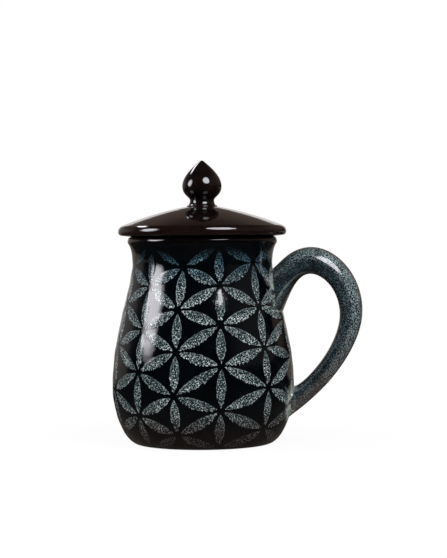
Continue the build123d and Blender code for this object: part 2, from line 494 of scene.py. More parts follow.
@dataclass(frozen=True)
class PetalGlaze:
    """Black glaze with raised petals, each a pale lace of broken glaze over teal."""

    name: str = "petal_glaze"
    ground: Colour = paint(1, 3, 5)
    ground_cloud: Colour = paint(3, 6, 9)
    ground_base: Colour = paint(17, 12, 11)
    lace: Colour = paint(181, 192, 188)
    lace_top: Colour = paint(94, 122, 131)
    lace_base: Colour = paint(106, 100, 97)
    pool: Colour = paint(5, 25, 30)
    pool_top: Colour = paint(7, 22, 32)
    pool_base: Colour = paint(22, 18, 17)
    seam: Colour = paint(156, 163, 154)
    top: Step = Step(73.0, 91.0)
    base: Step = Step(24.0, 6.0)
    foot: Step = Step(16.0, 2.0)
    clouds: Mottle = Mottle(0.09, 4.0, 0.6, 0.5, step=Step(0.45, 0.75))
    seam_reach: Step = Step(1.7, 0.4)
    seam_breaks: Mottle = Mottle(0.3, 3.0, 0.55, step=Step(0.38, 0.6, 0.25, 1.0))
    edge: Step = Step(0.0, 0.18)
    drips: Mottle = Mottle(1.35, 1.0, 0.5, stretch=(1, 1, 0.55))
    drip_depth: Step = Step(-0.2, 0.6, 0.6, 2.4)
    lip_fade: Step = Step(98.0, 88.0)
    foot_fade: Step = Step(0.0, 12.0, 0.35, 1.0)
    net_scale: float = 0.95
    net_line: Step = Step(0.06, 0.02, 0.0, 0.2)
    net_wander_scale: float = 1.1
    net_wander: float = 0.9
    breaks: Mottle = Mottle(0.9, 2.0, 0.6, step=Step(0.34, 0.5, 0.25, 1.0))
    grains: Mottle = Mottle(1.75, 1.0, 0.5, step=Step(0.562, 0.602))
    rim: Step = Step(0.4, 0.1, 0.0, 0.5)
    blotches: Mottle = Mottle(0.16, 2.0, 0.5, step=Step(0.3, 0.7, 0.55, 1.0))
    low_side: Step = Step(-0.9, 0.7, 0.6, 1.05)
    skin: Mottle = Mottle(0.3, 2.0, 0.4)
    skin_depth: float = 0.05
    lace_depth: float = 0.002
    ground_roughness: float = 0.07
    petal_roughness: float = 0.11
    gloss: float = 0.5

    def make(self) -> Material:
        """Build the material.

        Returns:
            The material.
        """
        g = Graph.material(self.name)
        height = g.height()
        top, base = g.ease(height, self.top), g.ease(height, self.base)
        petal, lace = self.petal_share(g, height), self.lace_share(g)
        pool = g.blend(base, g.blend(top, self.pool, self.pool_top), self.pool_base)
        line = g.blend(base, g.blend(top, self.lace, self.lace_top), self.lace_base)
        ground = g.blend(g.noise(self.clouds), self.ground, self.ground_cloud)
        ground = g.blend(g.ease(height, self.foot), ground, self.ground_base)
        colour = g.blend(petal, ground, g.blend(lace, pool, line))
        seam = g.times(g.ease(g.noted("joint"), self.seam_reach), g.noise(self.seam_breaks))
        colour = g.blend(seam, colour, self.seam)
        normal = g.bump(g.times(petal, lace), self.lace_depth, g.bump(g.noise(self.skin), self.skin_depth))
        extra = self.petal_roughness - self.ground_roughness
        rough = g.sum("MULTIPLY_ADD", petal, extra, self.ground_roughness)
        return g.surface(colour, rough, normal, self.gloss)

    def petal_share(self, g: Graph, height: Socket) -> Socket:
        """Say how far a place lies inside a petal, with ragged lower edges that fade at the neck and foot.

        Args:
            g: The material's nodes.
            height: The height above the table.

        Returns:
            The share, from 0 on the ground to 1 in a petal.
        """
        drips = g.sum("SUBTRACT", g.noise(self.drips), NOISE_MIDDLE)
        ragged = g.times(drips, g.ease(g.noted("petal_low"), self.drip_depth))
        inside = g.ease(g.sum("ADD", g.noted("petal"), ragged), self.edge)
        return g.times(inside, g.ease(height, self.lip_fade), g.ease(height, self.foot_fade))

    def lace_share(self, g: Graph) -> Socket:
        """Say how much pale broken glaze there is at a place in a petal.

        Args:
            g: The material's nodes.

        Returns:
            The share, from 0 in a pool to 1 on a pale line.
        """
        cloud = {"Vector": g.place(), "Scale": self.net_wander_scale}
        wander = g.add("ShaderNodeTexNoise", cloud).outputs["Color"]
        bend = {0: wander, 1: (self.net_wander,) * 3, 2: g.place()}
        bent = g.add("ShaderNodeVectorMath", bend, operation="MULTIPLY_ADD").outputs[0]
        net = g.ease(g.cells(bent, self.net_scale, "DISTANCE_TO_EDGE"), self.net_line)
        breaks = g.noise(self.breaks)
        rim = g.ease(g.noted("petal"), self.rim)
        lines = g.most(g.times(net, breaks), g.noise(self.grains), g.times(rim, breaks))
        low = g.ease(g.noted("petal_low"), self.low_side)
        return g.times(lines, g.noise(self.blotches), low, g.noted("petal_tone"))


@dataclass(frozen=True)
class MottledGlaze:
    """Pale glaze full of dark dots on the strap's back, teal inside, breaking to brown along its edges, with
    a painted highlight along its inner edge near the neck and painted shade in the dark brown of its inner
    face.
    """

    name: str = "mottled_glaze"
    deep: Colour = paint(4, 12, 17)
    teal: Colour = paint(11, 28, 35)
    pale: Colour = paint(152, 168, 166)
    # Dark brown of the strap's inner face: glaze breaking brown, with painted shade where the face turns to
    # the pot.
    brown: Colour = paint(30, 26, 22)
    ridge: Colour = paint(66, 51, 45)
    # Pale seam colour, used for the joints and also for the painted highlight along the strap's inner edge.
    seam: Colour = paint(132, 140, 132)
    blotches: Mottle = Mottle(0.13, 3.0, 0.55, 0.4)
    teal_step: Step = Step(0.34, 0.66)
    drift: float = 0.5
    worn_down: Step = Step(0.48, 0.86)
    worn_back: Step = Step(0.0, 0.6, 0.0, 0.6)
    outer_rim: Step = Step(0.8, 1.05, 0.0, 0.75)
    # Where the inner face goes dark brown: glaze breaking brown, and painted shade towards the pot.
    inner_break_and_shade: Step = Step(-0.55, -0.9, 0.0, 0.75)
    seam_reach: Step = Step(1.2, 0.3)
    seam_breaks: Mottle = Mottle(0.35, 2.0, 0.5, step=Step(0.4, 0.56))
    thickness: Step = Step(0.3, 0.7, 0.65, 1.35)
    grains: Mottle = Mottle(2.0, 1.0, 0.5, step=Step(0.47, 0.58))
    dot_scale: float = 1.0
    dots: Step = Step(0.16, 0.34, 0.15, 1.0)
    # Where the painted highlight runs along the strap's inner edge near the neck, how wide it is and where it
    # ends.
    highlight_place: Step = Step(0.02, 0.3, 0.45, 0.85)
    highlight_width: Step = Step(0.12, 0.02)
    highlight_end: Step = Step(0.34, 0.1, 0.0, 0.35)
    highlight_breaks: Mottle = Mottle(0.4, 2.0, 0.5, step=Step(0.35, 0.55, 0.2, 1.0))
    skin: Mottle = Mottle(0.3, 2.0, 0.4)
    skin_depth: float = 0.05
    roughness: float = 0.07
    gloss: float = 0.5

    def make(self) -> Material:
        """Build the material.

        Returns:
            The material.
        """
        g = Graph.material(self.name)
        back, down, blotches = g.noted("back"), g.noted("down"), g.noise(self.blotches)
        colour = g.blend(g.ease(blotches, self.teal_step), self.deep, self.teal)
        colour = g.blend(self.pale_share(g, blotches), colour, self.pale)
        drift = g.sum("MULTIPLY_ADD", g.sum("SUBTRACT", blotches, NOISE_MIDDLE), self.drift, back)
        worn = g.times(g.ease(down, self.worn_down), g.ease(drift, self.worn_back))
        colour = g.blend(g.most(worn, g.ease(drift, self.outer_rim)), colour, self.ridge)
        # Painted shade: the strap's inner face, turned to the pot, is painted dark brown where the glaze also
        # breaks brown.
        colour = g.blend(g.ease(drift, self.inner_break_and_shade), colour, self.brown)
        # Painted highlight: the pale seam colour laid along the strap's inner edge near the neck, where light
        # catches that edge.
        colour = g.blend(self.painted_highlight_share(g, back, down), colour, self.seam)
        seam = g.times(g.ease(g.noted("seam"), self.seam_reach), g.noise(self.seam_breaks))
        colour = g.blend(seam, colour, self.seam)
        normal = g.bump(g.noise(self.skin), self.skin_depth)
        return g.surface(colour, self.roughness, normal, self.gloss)

    def pale_share(self, g: Graph, blotches: Socket) -> Socket:
        """Say how much pale glaze there is, broken into grains with dark dots between them, with a painted
        highlight on the lower limb's inner edge.
        """
        thick = g.times(g.noted("thick"), g.ease(blotches, self.thickness), g.noise(self.grains))
        return g.times(thick, g.ease(g.cells(g.place(), self.dot_scale, "F1"), self.dots))

    def painted_highlight_share(self, g: Graph, back: Socket, down: Socket) -> Socket:
        """Say where a painted highlight runs pale along the strap's inner edge, near the neck."""
        off = g.sum("ABSOLUTE", g.sum("ADD", back, g.ease(down, self.highlight_place)))
        return g.times(g.ease(off, self.highlight_width), g.ease(down, self.highlight_end), g.noise(self.highlight_breaks))


@dataclass(frozen=True)
class BareClay:
    """Unglazed stoneware, grogged and toasted, where a pot stands or a ring seats."""

    name: str = "bare_clay"
    body: Colour = paint(122, 98, 78)
    toasted: Colour = paint(88, 62, 46)
    grog: Colour = paint(166, 146, 122)
    toast: Mottle = Mottle(0.2, 4.0, step=Step(0.35, 0.65))
    grit: Mottle = Mottle(2.4, 3.0, 0.7)
    grit_depth: float = 0.08
    grog_step: Step = Step(0.62, 0.74, 0.0, 0.7)
    roughness: Step = Step(0.3, 0.7, 0.85, 0.7)
    gloss: float = 0.25

    def make(self) -> Material:
        """Build the material.

        Returns:
            The material.
        """
        g = Graph.material(self.name)
        grit = g.noise(self.grit)
        colour = g.blend(g.noise(self.toast), self.body, self.toasted)
        colour = g.blend(g.ease(grit, self.grog_step), colour, self.grog)
        return g.surface(colour, g.ease(grit, self.roughness), g.bump(grit, self.grit_depth), self.gloss)


@dataclass
class Outline:
    """The outline that a piece is turned from, as stretches of points with their finishes.

    An edge is felt over edge_reach millimetres, and is full where the outline turns by edge_turn radians.
    """

    points: list[np.ndarray] = field(default_factory=list)
    finishes: list[int] = field(default_factory=list)
    edge_reach: float = 1.1
    edge_turn: float = 1.2

    def run(self, stretch: np.ndarray, finish: int = 0) -> "Outline":
        """Add a stretch that starts where the last one ended.

        Args:
            stretch: Its points, as radius and height in millimetres.
            finish: The material slot of its faces.

        Returns:
            The same outline.
        """
        self.points.append(stretch[1:] if self.points else stretch)
        self.finishes += [finish] * (len(stretch) - 1)
        return self

    def lines(self, corners: Sequence[Pair], counts: Sequence[int], finish: int = 0) -> "Outline":
        """Add straight stretches from corner to corner.

        Args:
            corners: Radius and height of each corner.
            counts: How many points each stretch has, ends included.
            finish: The material slot of their faces.

        Returns:
            The same outline.
        """
        for start, end, count in zip(corners, corners[1:], counts):
            self.run(straight(start, end, count), finish)
        return self

    def rows(self) -> np.ndarray:
        """Give all the points in order."""
        return np.vstack(self.points)

    def edge_shares(self) -> np.ndarray:
        """Say how sharply the outline turns outwards at each point.

        Returns:
            Shares from 0 on a flat to 1 on an edge.
        """
        rows = self.rows()
        steps = np.diff(rows, axis=0)
        bend = np.pad(np.diff(np.unwrap(np.arctan2(steps[:, 1], steps[:, 0]))), 1)
        length = lengths_along(rows)
        near = np.exp(-(((length[:, None] - length) / self.edge_reach) ** 2))
        return np.clip((near * bend).sum(1) / self.edge_turn, 0, 1)


def turn(name: str, outline: Outline, columns: int, sink: Any = 0.0) -> Piece:
    """Turn an outline round the upright axis into a closed mesh.

    Args:
        name: The piece's name.
        outline: The outline, which runs from the axis below to the axis above, or closes on itself.
        columns: How many faces go round.
        sink: How far the points go in from the outline, as one number or by row and column.

    Returns:
        The piece, with its edge shares noted.
    """
    rows, edge = outline.rows(), outline.edge_shares()
    if np.allclose(rows[0], rows[-1]):
        rows, edge = rows[:-1], edge[:-1]
    along = unit(np.gradient(rows, axis=0))
    grid = around(rows[:, :1] - along[:, 1:] * sink, turns(columns), rows[:, 1:] + along[:, :1] * sink)
    counts = np.where(rows[:, 0] < ON_AXIS, 1, columns)
    piece = make_mesh(name, [ring[:count] for ring, count in zip(grid, counts)], outline.finishes)
    note(piece, "edge", np.repeat(edge, counts))
    return piece


@dataclass(frozen=True)
class HubColumn:
    """One upright row of hubs: their angles in degrees and heights in millimetres, from the top down."""

    angles: tuple[float, ...]
    heights: tuple[float, ...]


@dataclass
class PetalLattice:
    """Rosettes of six petals that share their petals, drawn round the pot by hand.

    Every second column is half a pitch higher. The drawn columns are those at the front, and the rest follow
    their spacing. Lengths are in millimetres along the wall.
    """

    columns: int = 12
    drawn: tuple[HubColumn, ...] = (
        HubColumn((-153.3, -153.3, -153.3, -153.3, -153.3), (87.0, 69.5, 49.7, 27.7, 8.5)),
        HubColumn((-124.5, -124.5, -124.5, -125.0), (78.0, 57.3, 37.4, 16.4)),
        HubColumn((-95.4, -97.6, -97.5, -98.4, -97.6), (87.2, 67.0, 47.3, 26.6, 7.9)),
        HubColumn((-66.8, -68.4, -68.8, -69.4), (78.3, 59.9, 40.8, 19.6)),
        HubColumn((-34.8, -36.0, -36.9, -36.2, -35.6), (89.4, 68.1, 48.7, 29.7, 9.7)),
        HubColumn((-3.8, -3.8, -3.8, -3.8), (77.5, 61.5, 43.1, 19.8)),
    )
    low_top: float = 78.5
    high_top: float = 88.3
    pitch: float = 20.2
    rows: int = 7
    upright_half_width: float = 2.4
    leaning_half_width: float = 2.55
    hub_gap: float = 1.4
    sag: float = 0.3
    edge_slope: float = 0.93
    upright_low: float = 0.8
    lean_loss: float = 0.65
    crown_power: int = 4
    least_room: float = 0.01
    side_reach: float = 6.0
    bow_reach: float = 8.0
    outside: float = -3.0
    under_slope: float = 0.9
    wander: float = 0.4
    wander_angle: float = 0.01
    tone_spread: float = 0.1
    seed: int = 11

    def hubs(self, levels: np.ndarray, lengths: np.ndarray) -> np.ndarray:
        """Place the hubs.

        Args:
            levels: Heights up the wall, in rising order.
            lengths: Lengths along the wall at those heights.

        Returns:
            The angle, in radians, and length along the wall of each hub, by column and row from the top down.
        """
        dice = np.random.default_rng(self.seed)
        spare = self.columns - len(self.drawn)
        first, last = self.drawn[-1].angles[0], self.drawn[0].angles[0] + 360
        made = []
        for column in self.drawn:
            down = np.interp(column.heights, levels, lengths)
            below = down[-1] - self.pitch * np.arange(1, self.rows - len(down))
            down = np.concatenate(([down[0] + self.pitch], down, below))
            round_pot = np.pad(np.radians(column.angles), (1, len(below)), "edge")
            made.append(np.column_stack((round_pot, down)))
        for step in range(1, spare + 1):
            angle = math.radians(first + (last - first) * step / (spare + 1))
            top = np.interp(self.high_top if step % 2 else self.low_top, levels, lengths)
            down = top + self.pitch * (1 - np.arange(self.rows))
            sway = dice.normal(0, self.wander, (self.rows, 2))
            made.append(np.column_stack((angle + sway[:, 0] * self.wander_angle, down + sway[:, 1])))
        return np.array(made)

    def petals(self, hubs: np.ndarray) -> list[tuple[np.ndarray, np.ndarray, float]]:
        """List the petals.

        Args:
            hubs: The hubs.

        Returns:
            Each petal's upper hub, lower hub and half-width.
        """
        found = []
        for column in range(self.columns):
            high = column % 2 == 0
            for row in range(1, self.rows - 2) if high else range(self.rows - 1):
                found.append((hubs[column, row], hubs[column, row + 1], self.upright_half_width))
            for side in (-1, 1) if high else ():
                other = hubs[(column + side) % self.columns]
                for row in range(self.rows):
                    found.append((hubs[column, row], other[row], self.leaning_half_width))
                    if row + 1 < self.rows:
                        found.append((other[row], hubs[column, row + 1], self.leaning_half_width))
        return found

    def spot(self, hub: np.ndarray, rows: np.ndarray, lengths: np.ndarray) -> np.ndarray:
        """Find a hub's place in space.

        Args:
            hub: Its angle and length along the wall.
            rows: The wall's outline.
            lengths: Lengths along the wall.

        Returns:
            The place, carried on past the wall's ends.
        """
        radius, level = (np.interp(hub[1], lengths, rows[:, axis]) for axis in (0, 1))
        radius += self.under_slope * min(hub[1], 0.0)
        level += max(hub[1] - lengths[-1], 0.0)
        return around(radius, hub[0], level)

    def field(self, rows: np.ndarray, angle: np.ndarray) -> dict[str, np.ndarray]:
        """Measure how every place on the wall lies to its nearest petal.

        Args:
            rows: The wall's outline from the foot to the lip, as radius and height.
            angle: The angles of the columns of vertices.

        Returns:
            By row and column: depth inside the petal's edge in millimetres, side of its middle line, tone,
            and how high its crown stands there.
        """
        lengths = lengths_along(rows)
        along = unit(np.gradient(rows, axis=0))
        spots = around(rows[:, :1], angle, rows[:, 1:])
        levels = {"petal": self.outside, "petal_low": 0.0, "petal_tone": 1.0, "petal_crown": 0.0}
        found = {name: np.full(spots.shape[:2], level) for name, level in levels.items()}
        dice = np.random.default_rng(self.seed + 1)
        for upper, lower, half_width in self.petals(self.hubs(rows[:, 1], lengths)):
            strength = dice.normal(1.0, self.tone_spread)
            start, end = (self.spot(hub, rows, lengths) for hub in (upper, lower))
            middle = (upper[0] + lower[0]) / 2 + (math.pi if abs(upper[0] - lower[0]) > math.pi else 0)
            slope = [np.interp((upper[1] + lower[1]) / 2, lengths, along[:, axis]) for axis in (0, 1)]
            outward = around(slope[1], middle, -slope[0])
            span = np.linalg.norm(end - start)
            way = (end - start) / span
            across = unit(np.cross(outward, way))
            across *= -1 if across[2] > 0 else 1
            lean = abs(across[2])
            place, offset, bow = ((spots - start) @ axis for axis in (way, across, outward))
            near = (place > 0) & (place < span)
            near &= (np.abs(offset) < self.side_reach) & (np.abs(bow) < self.bow_reach)
            t = (2 * place[near] - span) / (span - 2 * self.hub_gap)
            taper = 1 - t * t
            room = half_width * taper
            shift = offset[near] - self.sag * lean * taper
            share = np.clip(shift / np.maximum(room, self.least_room), -1, 1)
            crown = (1 - self.lean_loss * lean) * taper * (1 - share**self.crown_power)
            values = {
                "petal": (room - np.abs(shift)) * self.edge_slope,
                "petal_low": lean * shift / half_width + (1 - lean) * self.upright_low * t,
                "petal_tone": strength,
                "petal_crown": np.clip(crown, 0, 1),
            }
            better = values["petal"] > found["petal"][near]
            for name, grid in found.items():
                grid[near] = np.where(better, values[name], grid[near])
        return found


@dataclass
class MugPot:
    """The thrown pot: pear-shaped wall, rounded lip, deep hollow and turned foot, in millimetres.

    The pulls are the shares by which the curves of base, side and flare leave and arrive straight.
    """

    rim_height: float = 101.6
    belly_radius: float = 45.0
    belly_height: float = 28.8
    neck_radius: float = 34.7
    neck_drop: float = 12.9
    lip_radius: float = 36.8
    lip_round: float = 1.8
    lip_rise: float = 2.1
    base_pull: Pair = (0.268, 0.708)
    side_pull: Pair = (0.394, 0.159)
    flare_pull: Pair = (0.9, 0.2)
    throat_radius: float = 30.9
    cavity_radius: float = 40.6
    mouth_bevel: float = 1.2
    floor_height: float = 6.5
    foot_radius: float = 32.5
    foot_recess_radius: float = 27.5
    foot_recess: float = 2.0
    foot_recess_slope: float = 1.4
    bare_rows: int = 3
    relief: float = 0.24
    relief_top: Step = Step(97.0, 91.0)
    relief_foot: Step = Step(0.5, 9.0)
    ring_depth: float = 0.12
    ring_pitch: float = 20.0
    ring_height: float = 70.0
    sway_depth: float = 0.12
    sway_lobes: int = 2
    sway_start: float = 0.9
    sway_twist: float = 0.03
    sway_rate: float = 0.07
    sway_rise: float = 1.0
    seam_levels: tuple[float, ...] = (35.0, 66.0, 73.0, 84.0)
    seam_shares: tuple[float, ...] = (3.4, 0.2, 0.7, 1.9)
    seam_side: float = 0.8
    seam_far: float = 9.0
    top_fade: float = 1.2
    top_tone_fade: float = 0.75
    top_fade_angle: float = 170.0
    top_fade_share: float = 0.8
    top_fade_step: Step = Step(84.0, 95.0)
    wall_samples: tuple[int, int] = (54, 90)
    flare_samples: int = 18
    hollow_samples: tuple[int, int] = (12, 18)
    columns: int = 440
    lattice: PetalLattice = field(default_factory=PetalLattice)

    def pear(self, foot: Pair, belly: Pair, waist: Pair, counts: tuple[int, int]) -> np.ndarray:
        """Sample a pear-shaped side.

        Args:
            foot: Radius and height of its lower end.
            belly: Those of its widest place.
            waist: Those of its upper end.
            counts: How many samples the base and the side have.

        Returns:
            Radius and height of each sample, from the foot up.
        """
        wide, rise, tall = belly[0] - foot[0], belly[1] - foot[1], waist[1] - belly[1]
        base = bezier(foot, (self.base_pull[0] * wide, 0), (0, self.base_pull[1] * rise), belly, counts[0])
        side = bezier(belly, (0, self.side_pull[0] * tall), (0, self.side_pull[1] * tall), waist, counts[1])
        return np.vstack((base, side[1:]))

    def wall(self) -> np.ndarray:
        """Sample the outer wall from the foot's edge to the lip's shoulder.

        Returns:
            Radius and height of each sample.
        """
        waist = (self.neck_radius, self.rim_height - self.neck_drop)
        lip = (self.lip_radius, self.rim_height - self.lip_rise)
        tall = lip[1] - waist[1]
        belly = (self.belly_radius, self.belly_height)
        side = self.pear((self.foot_radius, 0), belly, waist, self.wall_samples)
        leave, arrive = ((0, pull * tall) for pull in self.flare_pull)
        flare = bezier(waist, leave, arrive, lip, self.flare_samples)
        return np.vstack((side, flare[1:]))

    def stand_off(self, points: np.ndarray) -> np.ndarray:
        """Say how far points stand off the outer wall, measured on the level."""
        rows = self.wall()
        return np.linalg.norm(points[..., :2], axis=-1) - np.interp(points[..., 2], rows[:, 1], rows[:, 0])

    def hollow(self) -> np.ndarray:
        """Sample the hollow's wall from the mouth's bevel down to the floor's edge.

        Returns:
            Radius and height of each sample.
        """
        throat = self.throat_radius
        waist, belly = (throat, self.rim_height - self.neck_drop), (self.cavity_radius, self.belly_height)
        mouth = straight((throat, self.rim_height - self.mouth_bevel), waist, 5)
        side = self.pear((throat, self.floor_height), belly, waist, self.hollow_samples)
        return np.vstack((mouth, side[-2::-1]))

    def outline(self) -> tuple[Outline, slice]:
        """Draw the pot's outline, from under the foot round to the floor of the hollow.

        Returns:
            The outline, and which of its rows are the outer wall.
        """
        petals, brown, clay = range(3)
        rim, throat, bevel, floor = self.rim_height, self.throat_radius, self.mouth_bevel, self.floor_height
        crest = self.lip_radius - self.lip_round
        recess = (self.foot_recess_radius - self.foot_recess_slope, self.foot_recess)
        wall = self.wall()
        shape = Outline().lines([(0, self.foot_recess), recess], [6], brown)
        shape.lines([recess, (self.foot_recess_radius, 0), (self.foot_radius, 0)], [4, 5], clay)
        start = len(shape.rows()) - 1
        shape.run(wall[: self.bare_rows + 1], clay)
        shape.run(wall[self.bare_rows :], petals)
        shape.run(arc((crest, rim - self.lip_rise), (self.lip_round, self.lip_rise), 0, 90, 12), brown)
        shape.lines([(crest, rim), (throat + bevel, rim), (throat, rim - bevel)], [4, 4], brown)
        shape.run(self.hollow(), brown)
        shape.lines([(throat, floor), (0, floor)], [8], brown)
        return shape, slice(start, start + len(wall))

    def seam_gaps(self, rows: np.ndarray, angle: np.ndarray, joints: list[np.ndarray]) -> np.ndarray:
        """Measure how far every place on the wall lies from the handle's joints.

        Args:
            rows: The wall's outline.
            angle: The angles of the columns of vertices.
            joints: The points where the upper and the lower end of the handle meet the wall.

        Returns:
            The gaps by row and column, drawn in where the seam runs wide.
        """
        spots = around(rows[:, :1], angle, rows[:, 1:])
        gaps = np.full(spots.shape[:2], self.seam_far)
        side = np.nonzero(np.cos(angle) > self.seam_side)[0]
        apart = np.linalg.norm(spots[:, side, None] - np.vstack(joints), axis=-1).min(-1)
        gaps[:, side] = apart / np.interp(rows[:, 1:], self.seam_levels, self.seam_shares)
        return gaps

    def sunk(self, level: np.ndarray, angle: np.ndarray, crown: np.ndarray) -> np.ndarray:
        """Say how far the wall is sunk between its petals, in its throwing rings and by its sway.

        Args:
            level: The heights of the rows of vertices.
            angle: The angles of the columns of vertices.
            crown: How high the petals stand, by row and column.

        Returns:
            The depths by row and column.
        """
        twist = self.sway_lobes * angle + self.sway_start + self.sway_twist * level
        sway = 0.5 + 0.5 * np.sin(twist) * np.sin(self.sway_rate * level + self.sway_rise)
        rings = 0.5 + 0.5 * np.sin(FULL_TURN * (level - self.ring_height) / self.ring_pitch)
        depth = self.relief * (1 - crown) + self.sway_depth * sway + self.ring_depth * rings
        return self.relief_top.at(level) * self.relief_foot.at(level) * depth

    def build(self, joints: list[np.ndarray]) -> Piece:
        """Turn the pot, sink the ground between its petals and note what its glaze reads.

        Args:
            joints: The points where the upper and the lower end of the handle meet the wall.

        Returns:
            The pot.
        """
        shape, wall = self.outline()
        rows, angle = shape.rows(), turns(self.columns)
        level = rows[wall][:, 1:]
        found = self.lattice.field(rows[wall], angle)
        faint = self.top_fade_share * (1 + np.cos(angle - math.radians(self.top_fade_angle)))
        faint = np.clip(faint, 0, 1) * self.top_fade_step.at(level)
        found["petal"] -= self.top_fade * faint
        found["petal_tone"] *= 1 - self.top_tone_fade * faint
        found["joint"] = self.seam_gaps(rows[wall], angle, joints)
        sink = np.zeros((len(rows), self.columns))
        sink[wall] = self.sunk(level, angle, found.pop("petal_crown"))
        pot = turn("pot", shape, self.columns, sink)
        elsewhere = {"petal": self.lattice.outside, "joint": self.seam_far}
        for name, values in found.items():
            whole = np.full(sink.shape, elsewhere.get(name, 0.0))
            whole[wall] = values
            note(pot, name, np.concatenate((whole[0, :1], whole[1:-1].ravel(), whole[-1, :1])))
        return pot

    def dress(self, pot: Piece, glazes: Sequence[Material]) -> Piece:
        """Glaze the pot's wall, hollow and foot, and tie it to its body."""
        return attach(pot, glazes, Body.MUG, "mug_body")


